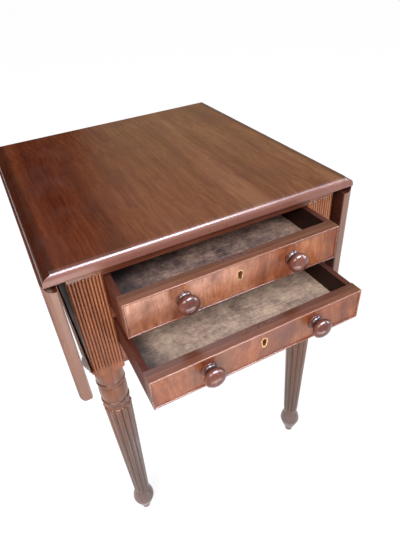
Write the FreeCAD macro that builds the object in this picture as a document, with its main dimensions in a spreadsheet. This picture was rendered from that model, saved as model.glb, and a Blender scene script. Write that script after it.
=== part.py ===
import FreeCAD, Part
import math
import os
import Sketcher
from FreeCAD import Placement, Rotation, Vector
from types import SimpleNamespace

# A small mahogany drop-leaf table with two drawers, in millimetres.
# X runs to the right, Y to the back and Z up from the floor. The drawers stand open and the leaves hang.
# The origin is on the floor, in the middle of the box that the table fills with its drawers open.

SIZES = {
    # top and leaves
    "overall_height": 700,
    "top_width": 474,
    "top_depth": 513,
    "top_thickness": 19,
    "upper_edge_round": 9,
    "lower_edge_round": 3,
    "leaf_width": 230,
    "joint_fillet": 3,
    "joint_radius": 12.5,
    "joint_clearance": 0.4,
    "overhang": 12,
    "side_overhang": 16,
    # frame
    "leg_block": 49,
    "apron_height": 191,
    "top_rail_height": 16,
    "upper_opening_height": 59,
    "divider_height": 20.5,
    "lower_opening_height": 54.5,
    "rail_depth": 44,
    "rail_setback": 1,
    "tenon_length": 14,
    "tenon_thickness": 12,
    "tenon_shoulder": 3,
    "back_thickness": 18,
    "side_thickness": 16,
    "fly_thickness": 21,
    "bead_height": 7,
    "bead_proud": 3.2,
    # turned legs, from the block down
    "block_length": 203,
    "shoulder_height": 12,
    "neck_length": 30,
    "neck_radius": 23.5,
    "ring_width": 9,
    "ring_rise": 2.6,
    "groove_radius": 22,
    "collar_length": 38,
    "collar_radius": 22.6,
    "collar_swell": 1.4,
    "cap_length": 8,
    "bell_length": 12,
    "reed_top_crest": 24.6,
    "reed_top_root": 21.8,
    "reed_foot_crest": 15.6,
    "reed_foot_root": 13.8,
    "reed_dome": 7,
    "foot_height": 73,
    "ankle_radius": 14.2,
    "bulb_radius": 22,
    "bulb_height": 45,
    "peg_height": 14,
    "peg_radius": 9,
    "peg_round": 3,
    "peg_shoulder": 1.5,
    # flat reeds on the face of each leg block
    "face_reed_depth": 1.8,
    "face_reed_margin": 1,
    "face_reed_top": 6,
    "face_reed_bottom": 10,
    # drawers
    "drawer_gap": 0.8,
    "slide_clearance": 0.3,
    "upper_drawer_out": 71,
    "lower_drawer_out": 134,
    "drawer_length": 440,
    "drawer_front_thickness": 19,
    "drawer_side_thickness": 9,
    "drawer_side_drop": 2,
    "drawer_lap": 12,
    "drawer_back_thickness": 8,
    "drawer_back_drop": 5,
    "drawer_bottom_thickness": 6,
    "drawer_bottom_raise": 10,
    "drawer_groove": 4,
    "cockbead_thickness": 2.5,
    "cockbead_proud": 2.2,
    # knobs
    "knob_spacing": 175,
    "knob_rise": 3,
    "knob_length": 26,
    "knob_base_radius": 12,
    "knob_base_thickness": 2.4,
    "knob_neck_radius": 8.5,
    "knob_neck_height": 8,
    "knob_head_radius": 16,
    "knob_head_height": 15,
    "knob_rim_height": 20.5,
    "knob_rim_inset": 1.4,
    "knob_foot_hollow": 0.6,
    "knob_neck_hollow": 1.5,
    "knob_rim_swell": 0.4,
    "knob_shank_radius": 5,
    "knob_shank_length": 15,
    # locks and keyholes
    "keyhole_rise": 9,
    "keyhole_radius": 5.4,
    "keyhole_drop": 8,
    "keyhole_foot_radius": 4.2,
    "escutcheon_wall": 1.6,
    "escutcheon_depth": 3,
    "escutcheon_proud": 0.3,
    "lock_width": 50,
    "lock_height": 33,
    "lock_depth": 10,
    "lock_wall": 2,
    "bolt_width": 20,
    "bolt_height": 17,
    "bolt_travel": 8,
    "bolt_clearance": 0.3,
    # runners and other pieces that carry the drawers
    "runner_width": 26,
    "runner_height": 18,
    "guide_height": 15,
    "stop_width": 30,
    "stop_height": 5,
    "stop_thickness": 8,
    "stop_inset": 70,
    # swinging leaf supports in the side rails
    "bracket_length": 150,
    "bracket_depth": 66,
    "bracket_tip": 26,
    "bracket_curve": 190,
    "bracket_clearance": 1,
    "knuckle_clearance": 0.3,
    "fly_pin_radius": 2.5,
    # rule-joint hinges
    "hinge_length": 40,
    "hinge_inset": 90,
    "hinge_plate_thickness": 2,
    "hinge_top_plate": 34,
    "hinge_leaf_plate": 46,
    "hinge_barrel_radius": 3.3,
    "hinge_shoulder": 0.9,
    "hinge_pin_radius": 1.5,
    "hinge_knuckle_gap": 0.3,
    "recess_clearance": 0.3,
    "running_clearance": 0.05,
    "seat_clearance": 0.02,
    # screws
    "screw_head_radius": 2.9,
    "screw_head_height": 1.6,
    "screw_shank_radius": 1.4,
    "hinge_screw_length": 11,
    "screw_spacing": 13,
    "top_screw_length": 28,
    "top_screw_inset": 60,
}
LEG_REEDS = 12
FACE_REEDS = 10
LEFT, RIGHT = -1, 1
FRONT, BACK = -1, 1
SIDE_NAME = {LEFT: "left", RIGHT: "right"}
END_NAME = {FRONT: "front", BACK: "back"}


class Size:
    """A length: its value now, and its formula in the sheet's names, which objects are bound to."""

    def __init__(self, value, formula):
        self.value = float(value)
        self.formula = formula

    def joined(self, other, sign, value):
        return Size(value, f"({self.formula} {sign} {as_size(other).formula})")

    def __add__(self, other):
        return self.joined(other, "+", self.value + as_size(other).value)

    def __sub__(self, other):
        return self.joined(other, "-", self.value - as_size(other).value)

    def __mul__(self, other):
        return self.joined(other, "*", self.value * as_size(other).value)

    def __truediv__(self, other):
        return self.joined(other, "/", self.value / as_size(other).value)

    def __neg__(self):
        return self * -1


def as_size(item):
    return item if isinstance(item, Size) else Size(item, f"{float(item):.9f}")


def root(size):
    return Size(math.sqrt(size.value), f"sqrt({size.formula})")


def arc_radius(half_chord, rise):
    """The radius of the arc that rises this much over the middle of its chord."""
    return (half_chord * half_chord + rise * rise) / (rise * 2)


doc = FreeCAD.newDocument("DropLeafTable")
sheet = doc.addObject("Spreadsheet::Sheet", "Sizes")
for row, (name, number) in enumerate(SIZES.items(), 1):
    sheet.set(f"A{row}", name)
    sheet.set(f"B{row}", str(number))
    sheet.setAlias(f"B{row}", name)
doc.recompute()
s = SimpleNamespace(**{name: Size(sheet.get(name), f"Sizes.{name}") for name in SIZES})
nodes = []

# Levels that several pieces share
top_under = s.overall_height - s.top_thickness
apron_bottom = top_under - s.apron_height
upper_opening_top = top_under - s.top_rail_height
upper_opening_bottom = upper_opening_top - s.upper_opening_height
lower_opening_top = upper_opening_bottom - s.divider_height
lower_opening_bottom = lower_opening_top - s.lower_opening_height

knob_reach = s.lower_drawer_out + s.knob_length - s.overhang
front_edge = (knob_reach - s.top_depth) / 2
back_edge = front_edge + s.top_depth
front_face = front_edge + s.overhang
back_face = back_edge - s.overhang
front_blocks_back = front_face + s.leg_block
back_blocks_front = back_face - s.leg_block
middle = (front_edge + back_edge) / 2

pin_x = s.top_width / 2
body_half = pin_x - s.side_overhang
opening_half = body_half - s.leg_block
side_outer = body_half - s.fly_thickness
side_inner = side_outer - s.side_thickness

pin_depth = s.joint_fillet + s.joint_radius
pin_z = s.overall_height - pin_depth
pin_to_under = s.top_thickness - pin_depth


def bind(piece, place, size):
    piece.setExpression(place, as_size(size).formula)


def set_base(piece, x, y, z):
    for letter, size in zip("xyz", (x, y, z)):
        bind(piece, f"Placement.Base.{letter}", size)


def node(piece, label):
    piece.Label = label
    nodes.append(piece)
    return piece


def span(side, inner, outer):
    """The X range of a piece between two distances from the middle, on one side of the table."""
    return (inner, outer) if side == RIGHT else (-outer, -inner)


def box(name, x, y, z):
    piece = doc.addObject("Part::Box", name)
    for measure, (low, high) in zip(("Length", "Width", "Height"), (x, y, z)):
        bind(piece, measure, high - low)
    set_base(piece, x[0], y[0], z[0])
    return piece


ALONG_X = Rotation(Vector(0, 1, 0), 90)
AGAINST_X = Rotation(Vector(0, 1, 0), -90)
ALONG_Y = Rotation(Vector(1, 0, 0), -90)
AGAINST_Y = Rotation(Vector(1, 0, 0), 90)
UPWARD = Rotation()


def rod(name, radius, length, base, direction=UPWARD):
    piece = doc.addObject("Part::Cylinder", name)
    bind(piece, "Radius", radius)
    bind(piece, "Height", length)
    piece.Placement = Placement(Vector(), direction)
    set_base(piece, *base)
    return piece


def fuse(name, pieces):
    joined = doc.addObject("Part::MultiFuse", name)
    joined.Shapes = pieces
    return joined


def group(name, pieces):
    together = doc.addObject("Part::Compound", name)
    together.Links = pieces
    return together


def cut(name, base, tools):
    piece = doc.addObject("Part::Cut", name)
    piece.Base = base
    piece.Tool = tools[0] if len(tools) == 1 else group(name + "_tools", tools)
    return piece


def common(name, base, tool):
    piece = doc.addObject("Part::Common", name)
    piece.Base = base
    piece.Tool = tool
    return piece


def arc_between(start, end, turn, radius):
    """The short arc from start to end that turns left or right, and which of its ends come first."""
    chord = end - start
    rise = math.sqrt(max(radius ** 2 - chord.Length ** 2 / 4, 0))
    to_left = Vector(-chord.y, chord.x, 0).normalize()
    centre = (start + end) / 2 + to_left * (rise if turn == "left" else -rise)
    first, last = (start, end) if turn == "left" else (end, start)
    angles = [math.atan2(point.y - centre.y, point.x - centre.x) for point in (first, last)]
    arc = Part.ArcOfCircle(Part.Circle(centre, Vector(0, 0, 1), radius), *angles)
    return arc, ((1, 2) if turn == "left" else (2, 1))


def outline(body, plane, offset, corners):
    """A closed sketch on a plane of the body, moved along that plane's normal.

    A corner is (x, y), or (x, y, turn, radius) where an arc leads on to the next corner.
    """
    sketch = body.newObject("Sketcher::SketchObject", body.Name + "_outline")
    origin_plane = next(item for item in body.Origin.OriginFeatures if item.Role == plane)
    sketch.AttachmentSupport = (origin_plane, [""])
    sketch.MapMode = "FlatFace"
    bind(sketch, "AttachmentOffset.Base.z", offset)
    corners = [(as_size(corner[0]), as_size(corner[1])) + tuple(corner[2:]) for corner in corners]
    points = [Vector(corner[0].value, corner[1].value, 0) for corner in corners]
    stretches = []
    for index, corner in enumerate(corners):
        ends = points[index], points[(index + 1) % len(points)]
        if len(corner) == 2:
            curve, order = Part.LineSegment(*ends), (1, 2)
        else:
            curve, order = arc_between(*ends, corner[2], as_size(corner[3]).value)
        stretches.append((sketch.addGeometry(curve), *order))

    def hold(size, *kind_and_places):
        number = sketch.addConstraint(Sketcher.Constraint(*kind_and_places, size.value))
        sketch.setExpression(f"Constraints[{number}]", size.formula)

    for index, corner in enumerate(corners):
        curve, first, last = stretches[index]
        following, start, _ = stretches[(index + 1) % len(stretches)]
        sketch.addConstraint(Sketcher.Constraint("Coincident", curve, last, following, start))
        hold(corner[0], "DistanceX", -1, 1, curve, first)
        hold(corner[1], "DistanceY", -1, 1, curve, first)
        if len(corner) == 4:
            hold(as_size(corner[3]), "Radius", curve)
    return sketch


def new_body(name):
    return doc.addObject("PartDesign::Body", name)


def feature(body, kind, profile, **settings):
    item = body.newObject("PartDesign::" + kind, body.Name + "_" + kind.lower())
    item.Profile = profile
    for setting, value in settings.items():
        setattr(item, setting, value)
    return item


def padded(name, plane, offset, corners, length):
    """A prism: an outline on a plane, carried along the plane's normal."""
    body = new_body(name)
    pad = feature(body, "Pad", outline(body, plane, offset, corners))
    bind(pad, "Length", length)
    return body


def revolve(body, kind, corners):
    """A turned form, or a turned cut, from a half profile of (radius, height) corners."""
    profile = outline(body, "XZ_Plane", 0, corners)
    feature(body, kind, profile, ReferenceAxis=(profile, ["V_Axis"]))


# Screws

def screw(name, length, base, direction, along):
    """A countersunk wood screw whose head lies flush at base; along is the unit step of its direction."""
    head = doc.addObject("Part::Cone", name + "_head")
    bind(head, "Radius1", s.screw_head_radius)
    bind(head, "Radius2", s.screw_shank_radius)
    bind(head, "Height", s.screw_head_height)
    head.Placement = Placement(Vector(), direction)
    set_base(head, *base)
    neck = [place + s.screw_head_height * step for place, step in zip(base, along)]
    shank = rod(name + "_shank", s.screw_shank_radius, length - s.screw_head_height, neck, direction)
    return fuse(name, [head, shank])


# Top and leaves: a section across the table meets a section along it, so the rounded ends turn the corner

def lengthwise_rounds(name, x, low, high):
    """A slab through X with rounded front and back edges, between two heights."""
    small, large = s.lower_edge_round, s.upper_edge_round
    corners = [
        (front_edge + small, low),
        (back_edge - small, low, "left", small),
        (back_edge, low + small),
        (back_edge, high - large, "left", large),
        (back_edge - large, high),
        (front_edge + large, high, "left", large),
        (front_edge, high - large),
        (front_edge, low + small, "left", small),
    ]
    return padded(name, "YZ_Plane", x[0], corners, x[1] - x[0])


def plan_rounds(name, x, low, high):
    """An upright leaf's front and back edges: the larger round is on the outer face."""
    small, large = s.lower_edge_round, s.upper_edge_round
    left, right = x
    outer_left = left.value < 0
    west, east = (large, small) if outer_left else (small, large)
    corners = [
        (left + west, front_edge),
        (right - east, front_edge, "left", east),
        (right, front_edge + east),
        (right, back_edge - east, "left", east),
        (right - east, back_edge),
        (left + west, back_edge, "left", west),
        (left, back_edge - west),
        (left, front_edge + west, "left", west),
    ]
    return padded(name, "XY_Plane", low, corners, high - low)


def table_top():
    reach = root(s.joint_radius * s.joint_radius - pin_to_under * pin_to_under)
    step = s.overall_height - s.joint_fillet
    corners = [
        (-pin_x - reach, top_under),
        (pin_x + reach, top_under, "left", s.joint_radius),
        (pin_x, step),
        (pin_x, s.overall_height),
        (-pin_x, s.overall_height),
        (-pin_x, step, "left", s.joint_radius),
    ]
    section = padded("top_section", "XZ_Plane", -back_edge, corners, s.top_depth)
    outer = pin_x + pin_depth
    rounds = lengthwise_rounds("top_rounds", (-outer, outer), top_under, s.overall_height)
    return common("top_blank", section, rounds)


def leaf(side):
    """A hanging leaf: its cove goes round the hinge pin, its lip ends at the pin's height."""
    cove = s.joint_radius + s.joint_clearance
    lip = root(cove * cove - s.joint_clearance * s.joint_clearance)
    inner_drop = root(cove * cove - pin_to_under * pin_to_under)
    bottom = pin_z - s.leaf_width
    large, small = s.upper_edge_round, s.lower_edge_round
    turn = "right" if side == RIGHT else "left"
    hollow = "left" if side == RIGHT else "right"

    def at(distance):
        return distance * side

    inner = pin_x - pin_to_under
    outer = pin_x + pin_depth
    corners = [
        (at(pin_x + lip), pin_z - s.joint_clearance),
        (at(outer), pin_z - s.joint_clearance),
        (at(outer), bottom + large, turn, large),
        (at(outer - large), bottom),
        (at(inner + small), bottom, turn, small),
        (at(inner), bottom + small),
        (at(inner), pin_z - inner_drop, hollow, cove),
    ]
    name = "leaf_" + SIDE_NAME[side]
    section = padded(name + "_section", "XZ_Plane", -back_edge, corners, s.top_depth)
    rounds = plan_rounds(name + "_rounds", span(side, inner, outer), bottom, pin_z)
    return common(name + "_blank", section, rounds)


# Hinges

def knuckle_rows(centre):
    """The Y ranges of a hinge's three knuckles, the middle one on the leaf."""
    width = (s.hinge_length - s.hinge_knuckle_gap * 2) / 3
    rows = []
    for index in range(3):
        start = centre - s.hinge_length / 2 + (width + s.hinge_knuckle_gap) * index
        rows.append((start, start + width))
    return rows


def barrel(name, side, y, radius):
    return rod(name, radius, y[1] - y[0], (pin_x * side, y[0], pin_z), ALONG_Y)


def hinge(side, number, centre):
    """One rule-joint hinge: the two plates, the pin, the screws and the space cut for them in the wood."""
    name = f"hinge_{SIDE_NAME[side]}_{number}"
    full = centre - s.hinge_length / 2, centre + s.hinge_length / 2
    rows = knuckle_rows(centre)
    step = s.hinge_barrel_radius + s.hinge_shoulder
    thick = s.hinge_plate_thickness
    flat = top_under, top_under + thick
    upright = span(side, pin_x - pin_to_under, pin_x - pin_to_under + thick)
    hang = pin_z - s.hinge_leaf_plate

    top_pieces = [box(name + "_top_flap", span(side, pin_x - s.hinge_top_plate, pin_x - step), full, flat)]
    for index in (0, 2):
        top_pieces.append(box(f"{name}_tongue_{index}", span(side, pin_x - step, pin_x), rows[index], flat))
        top_pieces.append(barrel(f"{name}_knuckle_{index}", side, rows[index], s.hinge_barrel_radius))
    leaf_pieces = [
        box(name + "_leaf_flap", upright, full, (hang, pin_z - step)),
        box(name + "_leaf_tongue", upright, rows[1], (pin_z - step, pin_z)),
        barrel(name + "_leaf_knuckle", side, rows[1], s.hinge_barrel_radius),
    ]
    top_screws = []
    leaf_screws = []
    outward = ALONG_X if side == RIGHT else AGAINST_X
    for index in (-1, 0, 1):
        y = centre + s.screw_spacing * index
        x = (pin_x - (s.hinge_top_plate + step) / 2) * side
        top_screws.append(screw(f"{name}_top_screw_{index + 1}", s.hinge_screw_length,
                                (x, y, top_under), UPWARD, (0, 0, 1)))
        z = pin_z - (s.hinge_leaf_plate + step * 2) / 2
        leaf_screws.append(screw(f"{name}_leaf_screw_{index + 1}", s.hinge_screw_length,
                                 ((pin_x - pin_to_under) * side, y, z), outward, (side, 0, 0)))
    pin_hole = barrel(name + "_pin_hole", side, full, s.hinge_pin_radius + s.seat_clearance)
    turning_hole = barrel(name + "_turning_hole", side, full, s.hinge_pin_radius + s.running_clearance)
    room = full[0] - s.recess_clearance, full[1] + s.recess_clearance
    wide = s.hinge_barrel_radius + s.recess_clearance
    recesses = fuse(name + "_recess", [
        box(name + "_flap_recess", span(side, pin_x - s.hinge_top_plate, pin_x + s.joint_radius), room, flat),
        box(name + "_barrel_recess", span(side, pin_x - wide, pin_x + wide), room, (top_under, pin_z + wide)),
    ])
    housing = box(name + "_leaf_recess", upright, full, (hang, pin_z))
    return SimpleNamespace(
        top_plate=cut(name + "_top_plate", fuse(name + "_top_whole", top_pieces), [pin_hole] + top_screws),
        leaf_plate=cut(name + "_leaf_plate", fuse(name + "_leaf_whole", leaf_pieces),
                       [turning_hole] + leaf_screws),
        pin=barrel(name + "_pin", side, full, s.hinge_pin_radius),
        top_screws=top_screws,
        leaf_screws=leaf_screws,
        recesses=recesses,
        housing=housing,
    )


def hinges_and_leaf(side):
    pair = [hinge(side, number, place) for number, place in
            enumerate((front_edge + s.hinge_inset, back_edge - s.hinge_inset), 1)]
    word = SIDE_NAME[side]
    node(group(f"hinge_plates_top_{word}", [item.top_plate for item in pair]), f"hinge_plates_top_{word}")
    node(group(f"hinge_plates_leaf_{word}", [item.leaf_plate for item in pair]), f"hinge_plates_leaf_{word}")
    node(group(f"hinge_pins_{word}", [item.pin for item in pair]), f"hinge_pins_{word}")
    leaf_screws = [fixing for item in pair for fixing in item.leaf_screws]
    node(group(f"hinge_screws_leaf_{word}", leaf_screws), f"hinge_screws_leaf_{word}")
    board = cut(f"leaf_{word}", leaf(side), [item.housing for item in pair] + leaf_screws)
    node(board, f"leaf_{word}")
    return pair


# Legs

def leg(side, end, mortises):
    """A leg turned from one square length: reeded block, rings, reeded taper, bulb foot on a peg."""
    name = f"leg_{END_NAME[end]}_{SIDE_NAME[side]}"
    body = new_body(name + "_turning")
    half = s.leg_block / 2
    block_bottom = top_under - s.block_length
    ring_top = block_bottom - s.neck_length
    ring_bottom = ring_top - s.ring_width
    cap_top = ring_bottom - s.collar_length
    cap_bottom = cap_top - s.cap_length
    shaft_top = cap_bottom - s.bell_length

    square = [(-half, -half), (half, -half), (half, half), (-half, half)]
    bind(feature(body, "Pad", outline(body, "XY_Plane", block_bottom, square)), "Length", s.block_length)

    revolve(body, "Revolution", [
        (0, block_bottom),
        (0, shaft_top),
        (s.groove_radius, shaft_top),
        (s.groove_radius, cap_bottom, "left", arc_radius(s.cap_length / 2, s.ring_rise)),
        (s.groove_radius, cap_top),
        (s.collar_radius, cap_top, "left", arc_radius(s.collar_length / 2, s.collar_swell)),
        (s.collar_radius, ring_bottom),
        (s.groove_radius, ring_bottom, "left", arc_radius(s.ring_width / 2, s.ring_rise)),
        (s.groove_radius, ring_top),
        (s.neck_radius, ring_top),
        (s.neck_radius, block_bottom),
    ])

    def reeded(height, crest, valley):
        """Twelve rounded reeds round the axis: arcs that meet in the valleys and swell to the crest."""
        half_turn = math.pi / LEG_REEDS
        swell = crest - valley * math.cos(half_turn)
        radius = arc_radius(valley * math.sin(half_turn), swell)
        corners = []
        for index in range(LEG_REEDS):
            angle = (2 * index - 1) * half_turn
            corners.append((valley * math.cos(angle), valley * math.sin(angle), "left", radius))
        return outline(body, "XY_Plane", height, corners)

    upper = reeded(shaft_top, s.reed_top_crest, s.reed_top_root)
    lower = reeded(s.foot_height, s.reed_foot_crest, s.reed_foot_root)
    feature(body, "AdditiveLoft", upper, Sections=[lower], Ruled=True)

    bulb_round = arc_radius(s.foot_height - s.bulb_height, s.bulb_radius - s.ankle_radius)
    bulb_foot = s.peg_radius + s.peg_shoulder
    foot_round = arc_radius(s.bulb_height - s.peg_height, s.bulb_radius - bulb_foot)
    revolve(body, "Revolution", [
        (0, s.foot_height),
        (0, 0),
        (s.peg_radius - s.peg_round, 0, "left", s.peg_round),
        (s.peg_radius, s.peg_round),
        (s.peg_radius, s.peg_height),
        (bulb_foot, s.peg_height, "left", foot_round),
        (s.bulb_radius, s.bulb_height, "left", bulb_round),
        (s.ankle_radius, s.foot_height),
    ])

    outside = s.leg_block
    revolve(body, "Groove", [
        (half, block_bottom),
        (outside, block_bottom),
        (outside, block_bottom + (outside - half)),
        (half + s.shoulder_height, block_bottom + s.shoulder_height, "right", s.shoulder_height),
    ])
    revolve(body, "Groove", [
        (s.groove_radius, shaft_top),
        (outside, shaft_top),
        (outside, shaft_top - s.reed_dome),
        (s.reed_top_crest, shaft_top - s.reed_dome, "left", s.reed_dome),
    ])

    pitch = (s.leg_block - s.face_reed_margin * 2) / FACE_REEDS
    reed_round = arc_radius(pitch / 2, s.face_reed_depth)
    edge = half - s.face_reed_margin
    valley = s.face_reed_depth - half
    corners = [(-edge, -s.leg_block), (edge, -s.leg_block)]
    for index in range(FACE_REEDS):
        corners.append((edge - pitch * index, valley, "right", reed_round))
    corners.append((-edge, valley))
    low = block_bottom + s.face_reed_bottom
    reeds = feature(body, "Pocket", outline(body, "XY_Plane", low, corners), Reversed=True)
    bind(reeds, "Length", s.block_length - s.face_reed_bottom - s.face_reed_top)

    if end == BACK:
        body.Placement = Placement(Vector(), Rotation(Vector(0, 0, 1), 180))
    set_base(body, (body_half - half) * side, front_face + half if end == FRONT else back_face - half, 0)
    node(cut(name, body, mortises), name)


# Frame

def tenons_x(name, y, z):
    """The tenons at the two ends of a rail that runs across the table."""
    centre = (y[0] + y[1]) / 2
    thick = centre - s.tenon_thickness / 2, centre + s.tenon_thickness / 2
    tall = z[0] + s.tenon_shoulder, z[1] - s.tenon_shoulder
    return {side: box(f"{name}_tenon_{SIDE_NAME[side]}",
                      span(side, opening_half, opening_half + s.tenon_length), thick, tall)
            for side in (LEFT, RIGHT)}


def cross_rail(name, y, z, mortises=()):
    """A rail or panel between two legs, with its tenons."""
    tenons = tenons_x(name, y, z)
    board = box(name + "_board", (-opening_half, opening_half), y, z)
    whole = fuse(name + "_whole", [board, tenons[LEFT], tenons[RIGHT]])
    node(cut(name, whole, list(mortises)) if mortises else whole, name)
    return tenons


def side_panel(side):
    """The inner side board, tenoned into the front and back legs."""
    name = "side_panel_" + SIDE_NAME[side]
    tall = apron_bottom, top_under
    board = box(name + "_board", span(side, side_inner, side_outer), (front_blocks_back, back_blocks_front), tall)
    inset = (s.side_thickness - s.tenon_thickness) / 2
    thick = span(side, side_inner + inset, side_outer - inset)
    short = tall[0] + s.tenon_shoulder, tall[1] - s.tenon_shoulder
    tenons = {
        FRONT: box(name + "_tenon_front", thick, (front_blocks_back - s.tenon_length, front_blocks_back), short),
        BACK: box(name + "_tenon_back", thick, (back_blocks_front, back_blocks_front + s.tenon_length), short),
    }
    node(fuse(name, [board, tenons[FRONT], tenons[BACK]]), name)
    return tenons


def fly_support(side):
    """The outer side rail with its swinging bracket on a wooden knuckle and a steel pin."""
    word = SIDE_NAME[side]
    pin_y = middle + s.bracket_length / 2
    tip_y = middle - s.bracket_length / 2
    pin_place = side_outer + s.fly_thickness / 2
    round_end = s.fly_thickness / 2 - s.knuckle_clearance
    clear = s.bracket_clearance
    bracket_top = top_under - s.knuckle_clearance
    bracket_bottom = top_under - s.bracket_depth
    third = (s.bracket_depth - s.knuckle_clearance) / 3
    heel = pin_y - round_end - clear
    thick = span(side, side_outer + s.knuckle_clearance, body_half - s.knuckle_clearance)

    def pad_x(name, x, corners):
        return padded(name, "YZ_Plane", x[0], corners, x[1] - x[0])

    def column(name, z, radius):
        return rod(name, radius, z[1] - z[0], (pin_place * side, pin_y, z[0]))

    fingers = [(bracket_bottom, bracket_bottom + third - clear), (bracket_top - third + clear, bracket_top)]
    middle_finger = bracket_bottom + third, bracket_top - third

    arm = pad_x(f"fly_arm_{word}", thick, [
        (tip_y, bracket_top),
        (tip_y, bracket_top - s.bracket_tip, "right", s.bracket_curve),
        (heel, bracket_bottom),
        (heel, bracket_top),
    ])
    tongue = box(f"fly_tongue_{word}", thick, (heel, pin_y), middle_finger)
    bracket = fuse(f"fly_bracket_whole_{word}", [
        arm, tongue, column(f"fly_knuckle_{word}", middle_finger, round_end)])
    whole_pin = bracket_bottom, bracket_top
    turning = column(f"fly_turning_hole_{word}", whole_pin, s.fly_pin_radius + s.running_clearance)
    node(cut(f"fly_bracket_{word}", bracket, [turning]), f"fly_bracket_{word}")

    rail_x = span(side, side_outer, body_half)
    rail = box(f"fly_board_{word}", rail_x, (front_blocks_back, back_blocks_front), (apron_bottom, top_under))
    heel_end = pin_y + round_end + clear
    window = pad_x(f"fly_window_{word}", rail_x, [
        (tip_y - clear, top_under),
        (tip_y - clear, bracket_top - s.bracket_tip - clear, "right", s.bracket_curve),
        (heel, bracket_bottom - clear),
        (heel_end, bracket_bottom - clear),
        (heel_end, top_under),
    ])
    pieces = [cut(f"fly_opened_{word}", rail, [window])]
    for index, finger in enumerate(fingers):
        low = bracket_bottom - clear if index == 0 else finger[0]
        pieces.append(box(f"fly_finger_{word}_{index}", thick, (pin_y, heel_end), (low, finger[1])))
        pieces.append(column(f"fly_rail_knuckle_{word}_{index}", (low, finger[1]), round_end))
    seat = column(f"fly_seat_hole_{word}", whole_pin, s.fly_pin_radius + s.seat_clearance)
    node(cut(f"fly_rail_{word}", fuse(f"fly_rail_whole_{word}", pieces), [seat]), f"fly_rail_{word}")
    node(column(f"fly_pin_{word}", whole_pin, s.fly_pin_radius), f"fly_pin_{word}")


def side_bead(side):
    """A rounded bead along the bottom edge of one side, over the leg blocks as well."""
    half = s.bead_height / 2
    bead_round = arc_radius(half, s.bead_proud)
    turn = "left" if side == RIGHT else "right"
    corners = [
        (body_half * side, apron_bottom, turn, bead_round),
        ((body_half + s.bead_proud) * side, apron_bottom + half, turn, bead_round),
        (body_half * side, apron_bottom + s.bead_height),
    ]
    name = "side_bead_" + SIDE_NAME[side]
    node(padded(name + "_body", "XZ_Plane", -back_face, corners, back_face - front_face), name)


def drawer_supports():
    """Runners, kickers, guides and stops: what the drawers slide on and between."""
    y = front_face + s.rail_setback + s.rail_depth, back_face - s.rail_setback - s.back_thickness
    between = front_blocks_back, back_blocks_front
    inner = side_inner - s.runner_width
    guides = []
    stops = []
    for word, floor in (("upper", upper_opening_bottom), ("lower", lower_opening_bottom)):
        runners = []
        for side in (LEFT, RIGHT):
            wide = span(side, inner, side_inner)
            low = floor - s.runner_height
            long_part = box(f"{word}_runner_{SIDE_NAME[side]}_long", wide, between, (low, floor))
            narrow = span(side, inner, opening_half)
            ends = [box(f"{word}_runner_{SIDE_NAME[side]}_front", narrow, (y[0], between[0]), (low, floor)),
                    box(f"{word}_runner_{SIDE_NAME[side]}_back", narrow, (between[1], y[1]), (low, floor))]
            runners.append(fuse(f"{word}_runner_{SIDE_NAME[side]}", [long_part] + ends))
            guides.append(box(f"{word}_guide_{SIDE_NAME[side]}", span(side, opening_half, side_inner), between,
                              (floor, floor + s.guide_height)))
            x = (opening_half - s.stop_inset) * side
            stop_front = front_face + s.drawer_front_thickness + s.slide_clearance
            stops.append(box(f"{word}_stop_{SIDE_NAME[side]}", (x - s.stop_width / 2, x + s.stop_width / 2),
                             (stop_front, stop_front + s.stop_thickness), (floor, floor + s.stop_height)))
        node(group(f"{word}_drawer_runners", runners), f"{word}_drawer_runners")
    node(group("drawer_guides", guides), "drawer_guides")
    node(group("drawer_stops", stops), "drawer_stops")

    kickers = []
    screws = []
    for side in (LEFT, RIGHT):
        wide = span(side, inner, opening_half)
        kicker = box(f"kicker_{SIDE_NAME[side]}", wide, y, (upper_opening_top, top_under))
        x = (inner + opening_half) / 2 * side
        pair = [screw(f"top_screw_{SIDE_NAME[side]}_{index}", s.top_screw_length, (x, place, upper_opening_top),
                      UPWARD, (0, 0, 1))
                for index, place in enumerate((between[0] + s.top_screw_inset, between[1] - s.top_screw_inset))]
        kickers.append(cut(f"kicker_drilled_{SIDE_NAME[side]}", kicker, pair))
        screws += pair
    node(group("drawer_kickers", kickers), "drawer_kickers")
    node(group("top_fixing_screws", screws), "top_fixing_screws")
    return screws


# Drawers

def keyhole(name, front, length, height, wall):
    """A keyhole-shaped plug: a round eye over a narrower rounded foot, less a wall all round."""
    eye = s.keyhole_radius - wall
    foot = s.keyhole_foot_radius - wall
    low = height - s.keyhole_drop
    corners = [
        (-eye, height, "right", eye),
        (0, height + eye, "right", eye),
        (eye, height),
        (foot, low, "right", foot),
        (0, low - foot, "right", foot),
        (-foot, low),
    ]
    return padded(name, "XZ_Plane", -(front + length), corners, length)


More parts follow.
